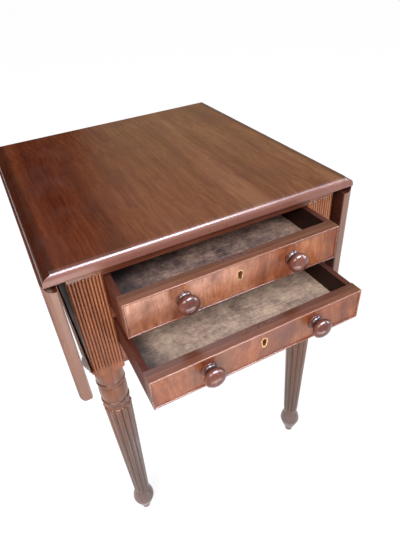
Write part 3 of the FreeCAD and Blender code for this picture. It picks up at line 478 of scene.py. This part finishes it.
def worn_board(name, bare, dust, stain, stain_share, lean):
    """A bare board with faint streaks along X, mottling and dark stains.

    Painted shade makes the stains grow towards the board's left end.
    """
    material, tree, output = new_material(name)
    place = add(tree, "TexCoord").outputs["Object"]
    pressed, whole = in_millimetres(tree, place, "X", STREAK_STRETCH), in_millimetres(tree, place)
    streak, mottle = noise(tree, pressed, STREAK_MM, 5.0, 0.7)[0], noise(tree, whole, MOTTLE_MM, 5.0, 0.75)[0]
    tone = between(tree, MOTTLE_SHARE, streak, mottle)
    tone = between(tree, PATCH_SHARE, tone, noise(tree, whole, PATCH_MM, 6.0, 0.65)[0])
    colour = graded(tree, tone, BOARD_STOPS, (stain, dust, bare))
    # Painted shade: more stain towards the board's left end.
    shade_leaning = carried(tree, along(tree, place, "X"), SHADE_LEAN_SPAN, lean, 0.0)
    blotch = math(tree, "ADD", noise(tree, whole, STAIN_MM, 6.0, 0.62)[0], shade_leaning)
    stain_and_shade = carried(tree, blotch, (STAIN_START - STAIN_GROWTH * stain_share, STAIN_FULL), 0.0, STAIN_SHADE)
    bump = add(tree, "Bump", {"Height": tone, "Strength": BOARD_BUMP, "Distance": BOARD_DEPTH}).outputs[0]
    board = add(tree, "BsdfPrincipled", {
        "Base Color": blend(tree, stain_and_shade, colour, linear(stain)), "Roughness": BOARD_ROUGH, "Normal": bump,
        "Specular IOR Level": BOARD_SHINE})
    tree.links.new(board.outputs[0], output.inputs["Surface"])
    return material


finishes["upper_bottom_board"] = worn_board("upper_bottom_board", "#CCB09A", "#9C8076", "#3A2A2A", 0.4, 0.16)
finishes["lower_bottom_board"] = worn_board("lower_bottom_board", "#E6D2BA", "#C2AA9A", "#7A665C", 0.15, 0.08)
print("bottom boards: 2 finishes")

# %% [markdown]
# ## Brass and iron
# The keyhole escutcheons and the hinges are cast brass, dulled brown by age. The lock cases, screws and pivot pins are
# iron. One even colour could do for such small pieces, but both are metals whose roughness changes in patches where
# they are rubbed or tarnished.

# %% Metals
TARNISH_SIZE, TARNISH_STOPS = 0.004, (0.38, 0.60)
TARNISH_SPAN, TARNISH_DULLS = (0.35, 0.65), 0.2


def old_metal(name, clean, tarnish, gloss):
    """A metal with tarnish in soft patches about 4 mm across."""
    material, tree, output = new_material(name)
    patches = noise(tree, add(tree, "TexCoord").outputs["Object"], TARNISH_SIZE, 4.0, 0.6)[0]
    colour = graded(tree, patches, TARNISH_STOPS, (tarnish, clean))
    rough = carried(tree, patches, TARNISH_SPAN, gloss + TARNISH_DULLS, gloss)
    metal = add(tree, "BsdfPrincipled", {"Base Color": colour, "Metallic": 1.0, "Roughness": rough})
    tree.links.new(metal.outputs[0], output.inputs["Surface"])
    return material


finishes["aged_brass"] = old_metal("aged_brass", "#D2B68C", "#A08058", 0.36)
finishes["dark_iron"] = old_metal("dark_iron", "#664A40", "#4A322A", 0.55)
print("metals: aged_brass, dark_iron")

# %% [markdown]
# ## Finishes on the frame's own pieces
# Most boards already have their right shape, so they only need their wood, with the grain along each board's length.
# A list of every piece with its finish would do as well, but the names already say what each piece is.

# %% Dress the frame


def finish_for(name):
    """The finish of a frame node, from its name: what it is made of and which way its grain runs."""
    if name == "table_top" or name.startswith("side_bead"):
        return "top_mahogany"
    if name.startswith("leaf_"):
        return "leaf_mahogany"
    if name.startswith("leg_"):
        return "carved_mahogany"
    if name == "upper_drawer_front":
        return "upper_front_mahogany"
    if name == "lower_drawer_front":
        return "figured_mahogany"
    if "cockbeads" in name:
        return "bead_mahogany"
    if "rail" in name and "fly" not in name or name == "back_panel":
        return "rail_mahogany"
    if "knob" in name:
        return "turned_mahogany"
    if "escutcheon" in name or name.startswith(("hinge_plates", "hinge_pins")):
        return "aged_brass"
    if "screw" in name or "lock" in name or name.startswith("fly_pin"):
        return "dark_iron"
    if name.endswith(("_drawer_side_left", "_drawer_side_right", "_drawer_back")):
        return "dark_mahogany"
    if name.endswith("_drawer_bottom"):
        return name.split("_")[0] + "_bottom_board"
    if name.startswith("fly_"):
        return "aged_beech"
    return "aged_pine"


for name, piece in nodes.items():
    piece.data.materials.clear()
    piece.data.materials.append(finishes[finish_for(name)])
print("dressed", len(nodes), "frame nodes")

# %% [markdown]
# ## Surfaces from numbers
# The turned and moulded pieces are surfaces over a grid: one parameter runs round the piece and the other along it.
# They could be spun or swept with modifiers, but whole arrays give each point exactly, and they also give a value per
# point for how deep it lies in a recess, where old wax and painted shade darken the wood.

# %% Surface helpers
MM = 0.001
SHARP_DEGREES = 38
SIDES = ("left", "right")
DRAWERS = ("upper", "lower")


def shell(rows, deep):
    """A closed shell: rows of a grid joined round each ring, with a pole at both ends.

    Ring i, column j is joined to its neighbours by one quad; each end ring is joined to its own middle point. The shell
    is its points, their values and its faces, as one array of quads and one of triangles.
    """
    count, columns, _ = rows.shape
    points = np.concatenate([rows.reshape(-1, 3), rows[:1].mean(1), rows[-1:].mean(1)])
    values = np.concatenate([deep.reshape(-1), deep[0].mean()[None], deep[-1].mean()[None]])
    ring = np.arange(columns)
    after = np.roll(ring, -1)
    start = np.arange(count - 1)[:, None] * columns
    quads = np.stack([start + ring, start + after, start + after + columns, start + ring + columns], axis=-1)
    first, last = count * columns, count * columns + 1
    end = (count - 1) * columns
    bottom = np.stack([after, ring, np.full(columns, first)], axis=1)
    top = np.stack([ring + end, after + end, np.full(columns, last)], axis=1)
    return points, values, (quads.reshape(-1, 4), np.concatenate([bottom, top]))


def make_piece(name, shells, finish, body, replaced):
    """One object from one or more shells, given in millimetres, that stands for a frame node."""
    points, values, faces, offset = [], [], [], 0
    for shell_points, shell_values, shell_faces in shells:
        points.append(shell_points)
        values.append(shell_values)
        for corners in shell_faces:
            faces += (corners + offset).tolist()
        offset += len(shell_points)
    mesh = bpy.data.meshes.new(name)
    mesh.from_pydata((np.concatenate(points) * MM).tolist(), [], faces)
    mesh.polygons.foreach_set("use_smooth", np.ones(len(faces), dtype=bool))
    mesh.attributes.new("wax_and_shade", "FLOAT", "POINT").data.foreach_set("value", np.concatenate(values))
    mesh.set_sharp_from_angle(angle=np.radians(SHARP_DEGREES))
    mesh.materials.append(finishes[finish])
    piece = bpy.data.objects.new(name, mesh)
    bpy.context.scene.collection.objects.link(piece)
    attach(piece, body)
    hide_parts(replaced)
    return piece


def arc(start, end, rise, count):
    """Points of an arc over a chord: t runs 0..1 and the bulge to the right of the way is about 4 rise t (1 - t)."""
    t = np.linspace(0, 1, count)[:, None]
    a, b = np.array(start, float), np.array(end, float)
    chord = b - a
    out = np.array([chord[1], -chord[0]]) / np.hypot(*chord)
    return a + chord * t + out * (4 * rise * t * (1 - t))


print("helpers: shell, make_piece, arc")

# %% [markdown]
# ## A leg's outline
# Each leg is turned and carved from one square length: a block with flat reeds on its face, a neck with rings, a
# tapering shaft with twelve reeds, and a foot like a peg top. On the lathe it starts as an outline of radius over
# height. The outline could be traced point by point, but a few arcs say what the turner's gouge does.

# %% Leg outline
FOOT_TOP, SHAFT_TOP = 73.0, 381.0
BULB_HEIGHT, BULB_RADIUS, ANKLE = 45.0, 22.0, 14.2
PEG_HEIGHT, PEG_RADIUS, PEG_ROUND, PEG_STEP, PEG_TOP_SHARE = 14.0, 9.0, 3.0, 1.5, 0.7
VALLEY_TOP, THUMB_ROOM = 21.8, 8.5
BULB_ROWS, SHAFT_ROWS, THUMB_ROWS = 20, 64, 30
# Above the shaft: each arc's start and end, as radius and height, its rise and its points; then the plain collar.
NECK_ARCS = (
    ((21.9, 1.0), (22.0, 11.6), -0.5, 8), ((22.0, 12.0), (22.0, 20.0), 2.6, 12),
    ((22.6, 20.4), (22.6, 57.6), 1.4, 16), ((22.0, 58.0), (22.0, 67.0), 2.6, 12),
)
COLLAR = ((23.2, 67.4), (23.5, 68.0), (23.5, 95.0), (23.2, 97.0))


def foot_outline():
    """(radius, height) of the foot from the floor to the ankle.

    Above its widest ring the bulb is a cosine, so that it meets the ankle in a notch. Below it the bulb draws in like a
    peg top: mostly a straight cone, with a share of a quarter ellipse that rounds it.
    """
    tip = arc((PEG_RADIUS - PEG_ROUND, 0), (PEG_RADIUS, PEG_ROUND), 0.9, 6)
    lip = arc((PEG_RADIUS + 0.2, PEG_HEIGHT - 0.2), (PEG_RADIUS + 1.4, PEG_HEIGHT + 0.3), 0.1, 3)
    shoulder = PEG_RADIUS + PEG_STEP
    angle = np.linspace(0, np.pi / 2, BULB_ROWS)
    drawn_in = PEG_TOP_SHARE * (1 - np.cos(angle)) + (1 - PEG_TOP_SHARE) * np.sin(angle)
    low = np.stack([shoulder + (BULB_RADIUS - shoulder) * drawn_in,
                    BULB_HEIGHT - (BULB_HEIGHT - PEG_HEIGHT - 0.5) * np.cos(angle)], axis=1)
    high = np.stack([ANKLE + (BULB_RADIUS - ANKLE) * np.cos(angle),
                     BULB_HEIGHT + (FOOT_TOP - BULB_HEIGHT) * angle / (np.pi / 2)], axis=1)[1:]
    return np.concatenate([tip, [(PEG_RADIUS, PEG_HEIGHT - 0.8)], lip, low, high])


def turned_outline():
    """(radius, height) of the leg's turned part from the floor up, with the reeds left out."""
    thumb_foot = SHAFT_TOP - THUMB_ROOM
    shaft = np.stack([np.full(SHAFT_ROWS, ANKLE), np.linspace(FOOT_TOP + 0.5, thumb_foot - 0.5, SHAFT_ROWS)], axis=1)
    thumbs = np.stack([np.full(THUMB_ROWS, VALLEY_TOP), np.linspace(thumb_foot, SHAFT_TOP + 0.5, THUMB_ROWS)], axis=1)
    neck = np.concatenate([*(arc(*row) for row in NECK_ARCS), COLLAR]) + (0, SHAFT_TOP)
    return np.concatenate([foot_outline(), shaft, thumbs, neck])


leg_outline = turned_outline()
print("leg outline:", len(leg_outline), "points")

# %% [markdown]
# ## A leg's reeds
# A lathe outline alone has no reeds, so on the shaft the radius is a function of height and angle. They could be cut
# with a scraper's profile swept down the leg, but the taper makes each reed thinner towards the foot: across a reed the
# surface is a circle's arc, and each reed ends above in a rounded thumb.

# %% Reeded shaft
LEG_REEDS, REED_STEPS = 12, 14
CREST_TOP, CREST_FOOT, VALLEY_FOOT = 24.6, 15.6, 13.8
REED_THUMB, KNUCKLE, REED_FADE, REED_WAX_SHADE = 6.0, 0.8, 14.0, 0.8
SHADE_REACH, SHADE_DEPTH = 5.0, 3.0


def ring_shade(outline):
    """How deep a point above the shaft lies: the largest radius within 5 mm, less its own, over 3 mm."""
    radius, height = outline[:, 0], outline[:, 1]
    near = np.abs(height[:, None] - height[None, :]) < SHADE_REACH
    highest = np.where(near, radius[None, :], 0).max(1)
    return np.clip((highest - radius) / SHADE_DEPTH, 0, 1) * (height > SHAFT_TOP)


def turned_shell(outline):
    """The turned part: radius = outline, or the reed's arc r = d cos a + sqrt(p^2 - d^2 sin^2 a) on the shaft.

    The reeds grow out of the ankle, and each ends above in a knuckle: its rise over the valley times sqrt(1 - t^2).
    """
    radius, height = outline[:, :1], outline[:, 1:]
    half_turn = np.pi / LEG_REEDS
    step = np.arange(LEG_REEDS * REED_STEPS) / REED_STEPS
    angle = step * 2 * half_turn
    across = (2 * (step % 1) - 1)[None, :]
    share = np.clip((height - FOOT_TOP) / (SHAFT_TOP - FOOT_TOP), 0, 1)
    grown = np.clip((height - FOOT_TOP) / REED_FADE, 0, 1)
    crest = ANKLE + (CREST_FOOT + (CREST_TOP - CREST_FOOT) * share - ANKLE) * grown
    valley = ANKLE + (VALLEY_FOOT + (VALLEY_TOP - VALLEY_FOOT) * share - ANKLE) * grown
    thumb = np.clip((height - (SHAFT_TOP - REED_THUMB)) / REED_THUMB, 0, 1)
    off = across * half_turn
    swell = crest - valley * np.cos(half_turn)
    curve = ((valley * np.sin(half_turn)) ** 2 + swell ** 2) / (2 * swell)
    centre = crest - curve
    arched = centre * np.cos(off) + np.sqrt(curve ** 2 - (centre * np.sin(off)) ** 2)
    knuckle = KNUCKLE * np.sin(np.pi * thumb) * (1 - across ** 2)
    reed = valley + (arched - valley + knuckle) * np.sqrt(1 - thumb ** 2)
    on_shaft = (height > FOOT_TOP) & (height < SHAFT_TOP)
    full = np.where(on_shaft, reed, radius)
    sunk = np.clip((crest - reed) / (crest - valley), 0, 1) ** 2
    # Old wax with painted shade: darker in the reed valleys, and in the recesses between rings above the shaft.
    deep = np.where(on_shaft, REED_WAX_SHADE * sunk * grown * (1 - thumb), ring_shade(outline)[:, None])
    rows = np.stack([full * np.cos(angle), full * np.sin(angle), np.broadcast_to(height, full.shape)], axis=-1)
    return shell(rows, deep)


turning = turned_shell(leg_outline)
print("turned part:", LEG_REEDS, "reeds and", len(turning[0]), "points")

# %% [markdown]
# ## A leg's block
# The top of the leg stays square, to take the rails, and its face shows ten flat reeds side by side. Bump in the
# material could hint at them, but they catch the light from the left, so each is a real arc, with a round head under
# the top and a foot that fades into the block. Below, the corners are turned away towards the neck.

# %% Leg block
BLOCK_FOOT, BLOCK_HEAD, BLOCK_HALF, CORNER = 478.0, 681.0, 24.5, 0.5
FACE_REEDS, FACE_REED_STEPS, FACE_REED_WIDTH, FACE_REED_DEPTH, FACE_REED_ROUND = 10, 12, 4.7, 1.8, 0.92
FACE_REED_FOOT, FACE_REED_HEAD, FACE_REED_FADE = BLOCK_FOOT + 8, BLOCK_HEAD - 12.5, 16.0
SIDE_POINTS, FACE_WAX_SHADE_POWER, TURNED_AWAY = 7, 1.6, 13.0


def face_sink(off):
    """How far a reed lies below its crest: a circle's arc over the share off of its half width, from 0 to 1."""
    bow = np.sqrt(np.clip(1 - FACE_REED_ROUND * off ** 2, 0, 1))
    return FACE_REED_DEPTH * (1 - bow) / (1 - np.sqrt(1 - FACE_REED_ROUND))


def block_loop():
    """The block's outline from above, from the face's left corner round: x, y, and how far off its reed's crest it is.

    On the three plain sides, and at the face's corners, the last is 1, and a mask tells where the reeds are.
    """
    edge = FACE_REEDS * FACE_REED_WIDTH / 2
    face_x = np.linspace(-edge, edge, FACE_REEDS * FACE_REED_STEPS + 1)
    face_off = np.abs(2 * ((face_x + edge) / FACE_REED_WIDTH % 1) - 1)
    soft = BLOCK_HALF - CORNER
    side = np.linspace(-soft, soft, SIDE_POINTS)
    flat = np.full(SIDE_POINTS, BLOCK_HALF)
    x = np.concatenate([[-soft], face_x, [soft], flat, -side, -flat])
    y = np.concatenate([np.full(len(face_x) + 2, -BLOCK_HALF), side, flat, -side])
    off = np.concatenate([[1], face_off, [1], np.ones(3 * SIDE_POINTS)])
    reeded = np.arange(len(x)) - 1 < len(face_x)
    reeded[0] = False
    return x, y, off, reeded


def block_shell():
    """The square block: y = face + depth, where depth is the reed's arc, round at its head and fading at its foot.

    Near the block's foot no point is further from the axis than a quarter round allows, which turns the corners away.
    """
    x, y, off, reeded = block_loop()
    height = np.concatenate([BLOCK_FOOT + np.linspace(0, 7, 12), BLOCK_FOOT + np.linspace(8, 25, 12),
                             np.linspace(BLOCK_FOOT + 30, BLOCK_HEAD - 24, 24), BLOCK_HEAD - np.linspace(18, 11, 18),
                             [BLOCK_HEAD - 2, BLOCK_HEAD - 0.2]])[:, None]
    fade = np.clip((height - FACE_REED_FOOT) / FACE_REED_FADE, 0, 1)
    fade = fade * fade * (3 - 2 * fade)
    half_width = FACE_REED_WIDTH / 2
    thumb = np.clip((height - (FACE_REED_HEAD - half_width)) / half_width, 0, 2)
    depth = np.where(reeded, face_sink(np.clip(np.hypot(off, thumb), 0, 1)), 0) * fade
    depth = np.where(height > FACE_REED_HEAD + 0.5, 0, depth)
    x, y = np.broadcast_to(x, depth.shape), y + depth
    below = np.clip(BLOCK_FOOT + TURNED_AWAY - height, 0, TURNED_AWAY)
    limit = BLOCK_HALF - 1 + np.sqrt(np.clip(TURNED_AWAY ** 2 - below ** 2, 0.01, None))
    trim = np.minimum(1, limit / np.hypot(x, y))
    rows = np.stack([x * trim, y * trim, np.broadcast_to(height, depth.shape)], axis=-1)
    # Old wax with painted shade in the reed valleys of the block's face.
    return shell(rows, np.clip(depth / FACE_REED_DEPTH, 0, 1) ** FACE_WAX_SHADE_POWER)


block = block_shell()
print("block:", FACE_REEDS, "reeds and", len(block[0]), "points")

# %% [markdown]
# ## Four legs
# The four legs are alike. The front ones show their reeds to the front and the back ones to the back, so a back leg is
# a front leg turned half round. Copies that share one mesh would save memory, but each leg stands for its own node.

# %% Legs
for end, facing in (("front", 1), ("back", -1)):
    for side in SIDES:
        name = f"leg_{end}_{side}"
        low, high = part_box(name)
        middle = np.array([(low.x + high.x) / 2, (low.y + high.y) / 2, 0]) / MM
        spin = np.array([facing, facing, 1])
        parts = [(points * spin + middle, deep, faces) for points, deep, faces in (turning, block)]
        make_piece("carved_" + name, parts, "carved_mahogany", "frame", name)
print("legs: 4, each", len(turning[0]) + len(block[0]), "points")

# %% [markdown]
# ## Knobs
# A knob is a mushroom turned on the lathe: a foot ring, a waist and a broad head with a soft rim. It could be a
# squashed ball on a stick, but light runs differently over a rim, so the outline is a row of arcs, carried once
# round its axis, which points out of the drawer.

# %% Knobs
KNOB_STEPS = 72
KNOB_BASE, KNOB_NECK, KNOB_HEAD, KNOB_LENGTH = 12.0, 8.5, 16.0, 26.0
KNOB_SHANK, KNOB_SHANK_LENGTH, KNOB_RIM, KNOB_SHADE = 5.0, 14.5, 14.0, 3.0


def knob_profile():
    """(radius, reach) of the knob from its shank to the middle of its face."""
    shank = [(KNOB_SHANK, -KNOB_SHANK_LENGTH), (KNOB_SHANK, -0.2)]
    foot = np.concatenate([arc((KNOB_BASE - 0.7, 0), (KNOB_BASE, 0.7), 0.15, 4),
                           arc((KNOB_BASE, 1.8), (KNOB_BASE - 1, 2.7), 0.3, 5)])
    waist = np.concatenate([arc((KNOB_BASE - 1.4, 3), (KNOB_NECK, 8), -0.8, 10),
                            arc((KNOB_NECK, 8.2), (KNOB_HEAD - 0.9, KNOB_RIM + 0.2), -1.6, 14)])
    rim = arc((KNOB_HEAD - 0.6, KNOB_RIM + 0.4), (KNOB_HEAD - 1.6, 20.6), 0.9, 14)
    face = arc((KNOB_HEAD - 1.9, 21), (0.4, KNOB_LENGTH - 0.1), 1.4, 18)
    return np.concatenate([shank, foot, waist, rim, face])


def knob_shell():
    """The outline carried round Y: x = r cos a, z = r sin a, y = -reach.

    The waist lies deep under the head, and takes painted shade there.
    """
    outline = knob_profile()
    radius, reach = outline[:, :1], outline[:, 1:]
    turn = np.linspace(0, 2 * np.pi, KNOB_STEPS, endpoint=False)
    rows = np.stack([radius * np.cos(turn), np.broadcast_to(-reach, (len(outline), KNOB_STEPS)),
                     radius * np.sin(turn)], axis=-1)
    # Painted shade on the waist under the head.
    waist_shade = np.clip((KNOB_BASE - radius) / KNOB_SHADE, 0, 1) * (reach < KNOB_RIM)
    return shell(rows, np.repeat(waist_shade, KNOB_STEPS, axis=1))


knob_points, knob_deep, knob_faces = knob_shell()
for word in DRAWERS:
    for side in SIDES:
        name = f"{word}_drawer_knob_{side}"
        low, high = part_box(name)
        middle = np.array([(low.x + high.x) / 2, low.y + KNOB_LENGTH * MM, (low.z + high.z) / 2]) / MM
        make_piece("turned_" + name, [(knob_points + middle, knob_deep, knob_faces)], "turned_mahogany",
                   word + "_drawer", name)
print("knobs: 4, each", len(knob_points), "points")

# %% [markdown]
# ## Cockbeads
# A thin bead stands proud round each drawer front and saves the veneer's edge from knocks. Its nose is half round, so
# it catches a fine line of light. Four plain strips could stand in for it, but they would meet in square butts: the
# bead's profile is carried round the four sides and mitred at the corners. Behind the nose, strips carry it on to the
# back of the front, and the top one leaves room for the lock's plate.

# %% Cockbeads
BEAD_THICK, BEAD_DEEP, LOCK_HALF = 2.5, 11.2, 25.0
NOSE_POINTS, NOSE_END, BEAD_BACK_SHADE, STRIP_SHADE = 11, 2.4, 0.55, 0.75


def bead_loop(half_wide, low, high, front):
    """The nose's ring: profile points (out, back) set at the four mitred corners, where out runs along both axes."""
    angle = np.linspace(-np.pi / 2, np.pi / 2, NOSE_POINTS)
    half = BEAD_THICK / 2
    out = np.concatenate([half * np.sin(angle), [half, half, -half, -half]])
    back = np.concatenate([half - half * np.cos(angle), [NOSE_END, BEAD_DEEP, BEAD_DEEP, NOSE_END]])
    corners = np.array([(-1, -1), (1, -1), (1, 1), (-1, 1)])
    centre_x, centre_z = half_wide - half, (high - low) / 2 - half
    x = corners[:, :1] * (centre_x + out[None, :])
    z = (low + high) / 2 + corners[:, 1:] * (centre_z + out[None, :])
    rows = np.stack([x, np.broadcast_to(front + back, x.shape), z], axis=-1)
    ring = np.arange(len(out))
    after = np.roll(ring, -1)
    corner = np.arange(len(corners))[:, None]
    start, onward = corner * len(out), (corner + 1) % len(corners) * len(out)
    quads = np.stack([start + ring, start + after, onward + after, onward + ring], axis=-1).reshape(-1, 4)
    # Painted shade behind the nose, where the bead lies in the gap round the drawer.
    back_shade = np.broadcast_to(back >= NOSE_END, x.shape).reshape(-1) * BEAD_BACK_SHADE
    return rows.reshape(-1, 3), back_shade, (quads,)


def slab(x, y, z):
    """A plain strip: the eight corners of a box and its six faces."""
    points = np.stack(np.meshgrid(x, y, z, indexing="ij"), axis=-1).reshape(-1, 3)
    quads = np.array([[0, 1, 3, 2], [4, 6, 7, 5], [0, 4, 5, 1], [2, 3, 7, 6], [0, 2, 6, 4], [1, 5, 7, 3]])
    # Painted shade on the strips behind the nose.
    return points, np.full(len(points), STRIP_SHADE), (quads,)


for word in DRAWERS:
    name = word + "_drawer_cockbeads"
    low, high = (np.array(corner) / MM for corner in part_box(name))
    inner = (low[1] + BEAD_DEEP, high[1])
    top = (high[2] - BEAD_THICK, high[2])
    bottom = (low[2], low[2] + BEAD_THICK)
    upright = (bottom[1], top[0])
    strips = [
        slab((low[0], -LOCK_HALF), inner, top),
        slab((LOCK_HALF, high[0]), inner, top),
        slab((low[0], high[0]), inner, bottom),
        slab((low[0], low[0] + BEAD_THICK), inner, upright),
        slab((high[0] - BEAD_THICK, high[0]), inner, upright),
    ]
    make_piece(word + "_drawer_beading", [bead_loop(high[0], low[2], high[2], low[1])] + strips, "bead_mahogany",
               word + "_drawer", name)
print("cockbeads: 2 rings of", BEAD_THICK, "mm")
